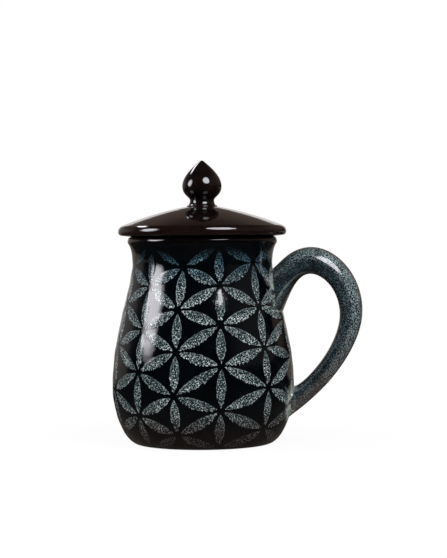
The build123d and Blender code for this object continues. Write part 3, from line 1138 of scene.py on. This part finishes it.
@dataclass
class PulledHandle:
    """The pulled strap: a loop with a full back and a flatter inside, in millimetres.

    The pulls are the shares by which each run of its centre line leaves and arrives straight.
    """

    thickness: float = 12.9
    width: float = 16.0
    back_share: float = 0.6
    stations: tuple[float, ...] = (0, 0.165, 0.265, 0.38, 0.515, 0.67, 0.79, 0.88, 1)
    thickness_shares: tuple[float, ...] = (1.24, 0.98, 1.02, 0.95, 0.862, 0.757, 0.722, 0.735, 1)
    width_shares: tuple[float, ...] = (1.22, 1.02, 0.98, 0.94, 0.88, 0.81, 0.77, 0.79, 1.04)
    crown: Pair = (53.7, 89.6)
    reach: Pair = (73.2, 64.4)
    upper_root: Pair = (30.9, 67.1)
    upper_angle: float = 56.0
    lower_root: Pair = (36.9, 18.3)
    lower_angle: float = 11.0
    upper_pull: Pair = (0.57, 0.46)
    crown_pull: Pair = (0.465, 0.577)
    lower_pull: Pair = (0.39, 0.41)
    root_depth: float = 1.0
    joint_flare: float = 0.7
    flare_reach: float = 1.3
    root_fullness: float = 0.6
    root_flare: float = 0.3
    root_end: Step = Step(0.16, 0.04)
    root_inside: Step = Step(0.0, 0.5)
    seam_backs: Pair = (-0.6, 0.2)
    upper_seam_shares: Pair = (0.35, 1.0)
    lower_seam_share: float = 2.4
    glaze_stations: tuple[float, ...] = (0.06, 0.25, 0.48, 0.72, 0.9)
    back_glaze: tuple[float, ...] = (0.2, 0.75, 0.6, 0.5, 0.45)
    side_glaze: tuple[float, ...] = (0.1, 0.06, 0.2, 0.12, 0.12)
    # Pale glaze on the strap's inner side; on the lower limb it also stands for a painted highlight along the
    # inner edge.
    inner_glaze_and_highlight: tuple[float, ...] = (0.2, 0.04, 0.2, 0.42, 0.3)
    back_step: Step = Step(0.05, 0.55)
    inner_step: Step = Step(0.25, 0.75)
    around: int = 96
    along: int = 220
    run_samples: int = 400
    line_samples: int = 1200

    def centre_line(self) -> np.ndarray:
        """Sample the strap's centre line from the neck over the crown to the base.

        Returns:
            Its points, evenly spaced, as distance from the axis and height.
        """
        crown, reach, upper, lower = map(np.array, (self.crown, self.reach, self.upper_root, self.lower_root))
        across, rise = crown - upper
        wide, tall = reach - crown
        back, drop = lower - reach
        rising = self.upper_pull[0] * rise * heading(self.upper_angle)
        ending = self.lower_pull[1] * back * heading(self.lower_angle)
        runs = (
            (upper, rising, (self.upper_pull[1] * across, 0), crown),
            (crown, (self.crown_pull[0] * wide, 0), (0, self.crown_pull[1] * tall), reach),
            (reach, (0, self.lower_pull[0] * drop), ending, lower),
        )
        points = np.vstack([bezier(*run, self.run_samples)[bool(i) :] for i, run in enumerate(runs)])
        length = lengths_along(points)
        even = np.linspace(0, length[-1], self.line_samples)
        return np.column_stack([np.interp(even, length, points[:, axis]) for axis in (0, 1)])

    def skin(self) -> np.ndarray:
        """Sweep the tapering section along the centre line.

        Returns:
            Places by station and by corner of the section.
        """
        line = self.centre_line()
        share = np.linspace(0, 1, len(line))[:, None]
        thick = self.thickness * through(self.stations, self.thickness_shares, share)
        half = self.width / 2 * through(self.stations, self.width_shares, share)
        way = unit(np.gradient(line, axis=0))
        angle = turns(self.around)
        back, inside = self.back_share * thick, (1 - self.back_share) * thick
        rise = np.where(np.sin(angle) > 0, back, inside) * np.sin(angle) + (inside - back) / 2
        root = self.root_end.at(share) * self.root_inside.at(-np.sin(angle))
        across = half * np.sign(np.cos(angle)) * np.abs(np.cos(angle)) ** (1 - self.root_fullness * root)
        across *= 1 + self.root_flare * root
        return np.stack((line[:, :1] - way[:, 1:] * rise, -across, line[:, 1:] + way[:, :1] * rise), -1)

    def ends(self, skin: np.ndarray, pot: MugPot, depth: float) -> np.ndarray:
        """Find where each line of the skin dips into the pot's wall.

        Args:
            skin: The skin.
            pot: The pot.
            depth: How deep inside the wall is meant, in millimetres.

        Returns:
            The first and last station outside that depth, for each corner of the section.
        """
        buried = pot.stand_off(skin) < -depth
        middle = len(skin) // 2
        stations = np.arange(len(skin))[:, None]
        first = np.where(buried[:middle], stations[:middle], 0).max(0)
        last = np.where(buried[middle:], stations[middle:], len(skin) - 1).min(0)
        return np.stack((first, last))

    def joints(self, pot: MugPot) -> list[np.ndarray]:
        """Find the points where the strap's upper and lower ends meet the pot's wall."""
        skin = self.skin()
        return [skin[rows, np.arange(self.around)] for rows in self.ends(skin, pot, 0.0)]

    def build(self, pot: MugPot) -> Piece:
        """Cut the strap to the pot's wall, close its ends inside the wall and note what its glaze reads.

        Args:
            pot: The pot that it is joined to.

        Returns:
            The strap.
        """
        skin = self.skin()
        lines, stations = [], np.arange(len(skin))
        for corner, (first, last) in enumerate(self.ends(skin, pot, self.root_depth).T):
            at = np.linspace(first, last, self.along + 1)
            lines.append(np.column_stack([np.interp(at, stations, axis) for axis in skin[:, corner].T]))
        grid = np.stack(lines, 1)
        gap = np.maximum(pot.stand_off(grid), 0)
        away = unit(grid - grid.mean(1, keepdims=True))
        grid = grid + away * (self.joint_flare * np.exp(-gap / self.flare_reach))[..., None]
        rings = [grid[:1].mean(1), *grid, grid[-1:].mean(1)]
        strap = make_mesh("strap", rings, [0] * (len(rings) - 1), flip=True)
        back, down = np.sin(turns(self.around)), np.linspace(0, 1, self.along + 1)[:, None]
        layers = (self.back_glaze, self.side_glaze, self.inner_glaze_and_highlight)
        outer, side, inner = (np.interp(down, self.glaze_stations, layer) for layer in layers)
        # The inner share adds pale glaze and, on the lower limb, a painted highlight along the inner edge.
        thick = side + (outer - side) * self.back_step.at(back) + (inner - side) * self.inner_step.at(-back)
        upper = np.interp(back, self.seam_backs, self.upper_seam_shares)
        seam = gap / np.where(down < 0.5, upper, self.lower_seam_share)
        for name, values in {"thick": thick, "back": back, "down": down, "seam": seam}.items():
            note(strap, name, np.pad(np.broadcast_to(values, gap.shape).ravel(), 1))
        return strap

    def dress(self, strap: Piece, glaze: Material) -> Piece:
        """Glaze the strap and tie it to its body."""
        return attach(strap, [glaze], Body.MUG, "handle")


@dataclass
class LidTop:
    """The lid with its locating ring and its drop-shaped knob, in millimetres.

    The knob's pulls are the shares by which its curves leave and arrive straight.
    """

    seat: float = 101.6
    radius: float = 41.4
    edge_height: float = 4.65
    top_round: float = 3.05
    under_round: float = 1.91
    under_rise: float = 0.784
    seat_radius: float = 35.0
    rise: float = 14.8
    bulge: float = 0.95
    dome_gap: float = 0.2
    wall: float = 4.6
    hollow_bevel: float = 2.0
    hollow_lift: float = 0.6
    ring_radius: float = 30.1
    ring_inner_radius: float = 26.9
    ring_depth: float = 7.0
    ring_bevel: float = 1.0
    knob_radius: float = 9.7
    knob_belly: float = 9.9
    knob_neck_radius: float = 5.95
    knob_neck: float = 3.0
    knob_foot_radius: float = 7.5
    knob_foot_edge: float = 0.4
    knob_height: float = 22.6
    knob_tip_round: float = 1.45
    knob_tip_angle: float = 46.0
    knob_lower_pull: Pair = (0.243, 0.637)
    knob_upper_pull: Pair = (0.49, 0.1)
    dome_samples: int = 90
    knob_samples: tuple[int, int] = (36, 48)
    dome_columns: int = 256
    ring_columns: int = 192
    knob_columns: int = 160

    def build_dome(self) -> Piece:
        """Turn the domed disc with its rounded overhanging edge and its hollow.

        Returns:
            The disc.
        """
        seat, radius, inner, land = self.seat, self.radius, self.ring_inner_radius, self.knob_foot_radius
        top, edge = seat + self.rise, seat + self.edge_height
        dome = bulged((radius, edge), (land, top), -self.bulge, self.dome_samples)
        brow = top - self.wall - (top - edge) / (radius - land) * (inner - land) + self.hollow_lift
        tilt = math.degrees(math.atan2(self.under_rise, radius - self.seat_radius))
        start = seat + self.under_rise + self.under_round * math.tan(math.radians(45 - tilt / 2))
        under = arc((radius - self.under_round, start), (self.under_round,) * 2, tilt - 90, 90 - tilt, 14)
        shoulder = 90 - math.degrees(math.atan2(dome[1, 1] - dome[0, 1], dome[0, 0] - dome[1, 0]))
        brim = edge - self.top_round * math.tan(math.radians(shoulder / 2))
        over = arc((radius - self.top_round, brim), (self.top_round,) * 2, 0, shoulder, 10)
        hollow = [(0, top - self.wall), (inner - self.hollow_bevel, brow), (inner, brow - self.hollow_bevel)]
        below = [*hollow, (inner, seat), (self.seat_radius, seat), under[0]]
        shape = Outline().lines(below, [14, 4, 5, 8, 6])
        shape.run(under).lines([(radius, start), (radius, brim)], [3]).run(over)
        shape.run(np.vstack((over[-1], dome[dome[:, 0] < over[-1, 0] - self.dome_gap])))
        return turn("dome", shape.lines([(land, top), (0, top)], [6]), self.dome_columns)

    def build_ring(self) -> Piece:
        """Turn the locating ring.

        Returns:
            The ring.
        """
        seat, bottom, bevel = self.seat, self.seat - self.ring_depth, self.ring_bevel
        inner, outer = self.ring_inner_radius, self.ring_radius
        inside = [(inner, seat), (inner, bottom + bevel), (inner + bevel, bottom)]
        outside = [(outer - bevel, bottom), (outer, bottom + bevel), (outer, seat), (inner, seat)]
        shape = Outline().lines(inside, [8, 4]).lines([inside[-1], outside[0]], [4], 1)
        return turn("locating_ring", shape.lines(outside, [4, 8, 5]), self.ring_columns)

    def build_knob(self) -> Piece:
        """Turn the drop-shaped knob.

        Returns:
            The knob.
        """
        base, foot, slant = self.seat + self.rise, self.knob_foot_radius, self.knob_tip_angle
        neck = (self.knob_neck_radius, base + self.knob_neck)
        belly = (self.knob_radius, base + self.knob_belly)
        centre = (0, base + self.knob_height - self.knob_tip_round)
        tip = self.knob_tip_round * heading(slant) + centre
        lower, upper = belly[1] - neck[1], tip[1] - belly[1]
        near_neck, near_belly = (pull * lower for pull in self.knob_lower_pull)
        off_belly, near_tip = (pull * upper for pull in self.knob_upper_pull)
        cove = (foot - self.knob_neck_radius, self.knob_neck - self.knob_foot_edge)
        shape = Outline().lines([(0, base), (foot, base), (foot, base + self.knob_foot_edge)], [6, 3])
        shape.run(arc((foot, neck[1]), cove, 270, -90, 14))
        shape.run(bezier(neck, (0, near_neck), (0, near_belly), belly, self.knob_samples[0]))
        shape.run(bezier(belly, (0, off_belly), near_tip * heading(slant + 90), tip, self.knob_samples[1]))
        shape.run(arc(centre, (self.knob_tip_round,) * 2, slant, 90 - slant, 8))
        return turn("drop_knob", shape, self.knob_columns)

    def dress(self, piece: Piece, node: str, glazes: Sequence[Material]) -> Piece:
        """Glaze a piece of the lid and tie it to its body."""
        return attach(piece, glazes, Body.LID, node)


@dataclass(frozen=True)
class Softbox:
    """One softbox, placed round the mug and turned to face a height on its axis, in metres and degrees."""

    name: str
    right: float
    reach: float
    height: float
    aim: float
    size: Pair
    radiance: float
    shape: LampShape
    soft_share: float
    swing: float = 0.0


@dataclass
class Studio:
    """The pale floor, the soft lamps and the camera, in metres and degrees.

    The floor's steps and drop are in millimetres. The room's steps are shares of a direction: behind the mug,
    left of it or up.
    """

    azimuth: float = 10.0
    distance: float = 0.905
    camera_height: float = 0.102
    aim_right: float = 0.0103
    aim_height: float = 0.0806
    roll: float = 0.4
    field_height: float = 0.2749
    sensor: float = 36.0
    floor_rings: tuple[float, ...] = (0.1, 0.3, 1.0, 3.0, 6.0)
    floor_drop: float = 0.2
    floor_columns: int = 96
    floor_papers: tuple[Colour, Colour] = ((0.82, 0.82, 0.81, 1), (0.88, 0.88, 0.87, 1))
    floor_fleck: Mottle = Mottle(0.004, 3.0)
    floor_shadow: Step = Step(60.0, 150.0, 0.95, 1.0)
    floor_dim: Step = Step(60.0, 160.0, 0.075, 0.03)
    floor_sheet: Step = Step(250.0, 700.0, 0.0, 0.25)
    sheet_behind: Step = Step(0.9, 0.97)
    sheet_up: Step = Step(0.05, 0.3, 0.7, 1.1)
    sheet_top: Step = Step(0.26, 0.31, 1.0, 0.0)
    flank_behind: Step = Step(0.3, 0.5)
    flank_left: Step = Step(0.1, 0.35)
    flank_up: Step = Step(0.1, 0.4, 0.25, 0.0)
    wall_behind: Step = Step(0.0, 0.6)
    wall_up: Step = Step(0.0, 0.3)
    wall_top: Step = Step(0.5, 0.72, 0.15, 0.045)
    side_up: Step = Step(0.0, 0.12)
    side_right: Step = Step(-0.4, -0.9, 0.012, 0.12)
    tint_behind: Step = Step(0.0, 0.3)
    tint_up: Step = Step(0.32, 0.4)
    tint_right: Step = Step(-0.2, -0.5)
    fill_level: float = 0.18
    wall_colour: Colour = paint(255, 220, 205)
    paper: Colour = paint(255, 248, 245)
    warm_paper: Colour = paint(255, 242, 229)
    cloth: Colour = paint(250, 249, 255)
    cloth_edge: float = 0.15
    softboxes: tuple[Softbox, ...] = (
        Softbox("side_softbox", -77.0, 0.45, 0.275, 0.275, (0.26, 0.37), 12.5, LampShape.ROUND, 0.5),
        Softbox("front_softbox", 28.5, 0.4, 0.432, 0.125, (0.344, 0.344), 13.5, LampShape.ROUND, 0.15),
        Softbox("back_softbox", -140.8, 0.666, 0.705, 0.125, (0.46, 0.13), 11.0, LampShape.OBLONG, 0.2, 25.8),
    )

    def direction(self, right: float, up: float = 0.0) -> Vector:
        """Give a direction from the mug.

        Args:
            right: Degrees to the right of the camera's line.
            up: Degrees above the table.

        Returns:
            The unit vector.
        """
        across, rise = math.radians(self.azimuth + right), math.radians(up)
        level = math.cos(rise)
        return Vector((math.sin(across) * level, -math.cos(across) * level, math.sin(rise)))

    def set_camera(self) -> Piece:
        """Set the camera at the photograph's angle.

        Returns:
            The camera.
        """
        eye = self.direction(0) * self.distance + Vector((0, 0, self.camera_height))
        aim = self.direction(90) * self.aim_right + Vector((0, 0, self.aim_height))
        data = bpy.data.cameras.new("camera")
        data.sensor_width = self.sensor
        data.lens = self.sensor * (aim - eye).length / self.field_height
        camera = bpy.data.objects.new("camera", data)
        look = (aim - eye).to_track_quat("-Z", "Y").to_matrix().to_4x4()
        roll = Matrix.Rotation(math.radians(-self.roll), 4, "Z")
        camera.matrix_world = Matrix.Translation(eye) @ look @ roll
        bpy.context.scene.collection.objects.link(camera)
        bpy.context.scene.camera = camera
        return camera

    def hang(self, box: Softbox) -> Piece:
        """Hang one softbox.

        Args:
            box: The softbox.

        Returns:
            The lamp.
        """
        data = bpy.data.lights.new(box.name, "AREA")
        data.shape = box.shape.value
        data.size, data.size_y = box.size
        area = box.size[0] * box.size[1] * (math.pi / 4 if box.shape is LampShape.ROUND else 1)
        data.energy = box.radiance * math.pi * area
        self.soften(data, box)
        lamp = bpy.data.objects.new(box.name, data)
        lamp.location = self.direction(box.right) * box.reach + Vector((0, 0, box.height))
        way = lamp.location - Vector((0, 0, box.aim))
        spin = Matrix.Rotation(math.radians(box.swing), 3, "Z")
        lamp.rotation_euler = (spin @ way.to_track_quat("Z", "Y").to_matrix()).to_euler()
        lamp.visible_camera = False
        bpy.context.scene.collection.objects.link(lamp)
        return lamp

    def soften(self, lamp: bpy.types.Light, box: Softbox) -> None:
        """Let a softbox dim towards its edges.

        Args:
            lamp: The lamp.
            box: The softbox.
        """
        g = Graph(lamp, "ShaderNodeOutputLight")
        across = g.add("ShaderNodeNewGeometry").outputs["Parametric"]
        sides = [g.sum("ABSOLUTE", g.sum("SUBTRACT", g.axis(across, name), 0.5)) for name in ("X", "Y")]
        if box.shape is LampShape.ROUND:
            edge = g.sum("SQRT", g.sum("ADD", *(g.times(side, side) for side in sides)))
        else:
            edge = g.most(*sides)
        dimming = Step(0.5 * (1 - box.soft_share), 0.5, 1.0, self.cloth_edge)
        g.show(g.glow(self.cloth, g.ease(edge, dimming)))

    def lay_floor(self) -> Piece:
        """Lay a pale round floor that keeps the mug's shadow.

        Returns:
            The floor.
        """
        angle = turns(self.floor_columns)
        rings = [around(reach / MM, angle, -self.floor_drop) for reach in self.floor_rings]
        middle = around(0, angle[:1], -self.floor_drop)
        floor = make_mesh("floor", [middle, *rings], [0] * len(rings), flip=True)
        floor.data.materials.append(self.floor_finish())
        return floor

    def floor_finish(self) -> Material:
        """Make the floor's pale paper, white to the camera and in reflections away from the mug.

        Returns:
            The material.
        """
        g = Graph.material("floor_paper")
        camera, mirrored, _ = g.rays()
        fleck = g.blend(g.noise(self.floor_fleck), *self.floor_papers)
        paper = g.add("ShaderNodeBsdfDiffuse", {"Color": fleck}).outputs[0]
        away = g.add("ShaderNodeVectorMath", {0: g.place()}, operation="LENGTH").outputs["Value"]
        behind = g.along(g.place(), -self.direction(0))
        level = g.most(camera, g.ease(away, self.floor_dim), g.ease(behind, self.floor_sheet))
        white = g.glow(g.blend(mirrored, WHITE, self.warm_paper), level)
        share = g.most(g.times(camera, g.ease(away, self.floor_shadow)), mirrored)
        return g.show(g.add("ShaderNodeMixShader", {0: share, 1: paper, 2: white}).outputs[0])

    def surround(self) -> bpy.types.World:
        """Set the room: white to the camera, a white sheet low behind the mug and a dim room elsewhere.

        Returns:
            The world.
        """
        world = bpy.data.worlds.new("room")
        bpy.context.scene.world = world
        g = Graph(world, "ShaderNodeOutputWorld")
        camera, mirrored, dull = g.rays()
        way = g.add("ShaderNodeTexCoord").outputs["Generated"]
        axes = (-self.direction(0), self.direction(-90), (0, 0, 1))
        behind, left, up = (g.along(way, axis) for axis in axes)
        sheet = g.stepped((behind, self.sheet_behind), (up, self.sheet_up), (up, self.sheet_top))
        flank = g.stepped((behind, self.flank_behind), (left, self.flank_left), (up, self.flank_up))
        wall = g.stepped((behind, self.wall_behind), (up, self.wall_up), (up, self.wall_top))
        side = g.ease(g.times(left, g.ease(up, self.side_up)), self.side_right)
        room = g.sum("ADD", g.most(sheet, flank), g.sum("ADD", wall, side))
        walls = g.most(g.ease(up, self.tint_up), g.ease(left, self.tint_right))
        tint = g.times(mirrored, g.ease(behind, self.tint_behind), walls)
        colour = g.blend(tint, g.blend(mirrored, WHITE, self.paper), self.wall_colour)
        strength = g.sum("ADD", g.most(camera, g.times(mirrored, room)), g.times(dull, self.fill_level))
        return g.show(g.add("ShaderNodeBackground", {"Color": colour, "Strength": strength}).outputs[0])

    def build(self) -> None:
        """Set up the camera, lamps, floor and room."""
        bpy.context.scene.view_settings.view_transform = "Standard"
        self.set_camera()
        for box in self.softboxes:
            self.hang(box)
        self.lay_floor()
        self.surround()


def main() -> None:
    """Build and dress every piece, then set the studio round it."""
    logging.basicConfig(level=logging.INFO, format="%(name)s: %(message)s")
    brown = BrownGlaze().make()
    clay = BareClay().make()
    pot, handle, lid = MugPot(), PulledHandle(), LidTop()
    pieces = [
        pot.dress(pot.build(handle.joints(pot)), [PetalGlaze().make(), brown, clay]),
        handle.dress(handle.build(pot), MottledGlaze().make()),
        lid.dress(lid.build_dome(), "lid", [brown]),
        lid.dress(lid.build_ring(), "lid_locating_ring", [brown, clay]),
        lid.dress(lid.build_knob(), "knob", [brown]),
    ]
    for piece in pieces:
        log.info("%s: %d faces", piece.name, len(piece.data.polygons))
    Studio().build()


if __name__ == "__main__":
    main()
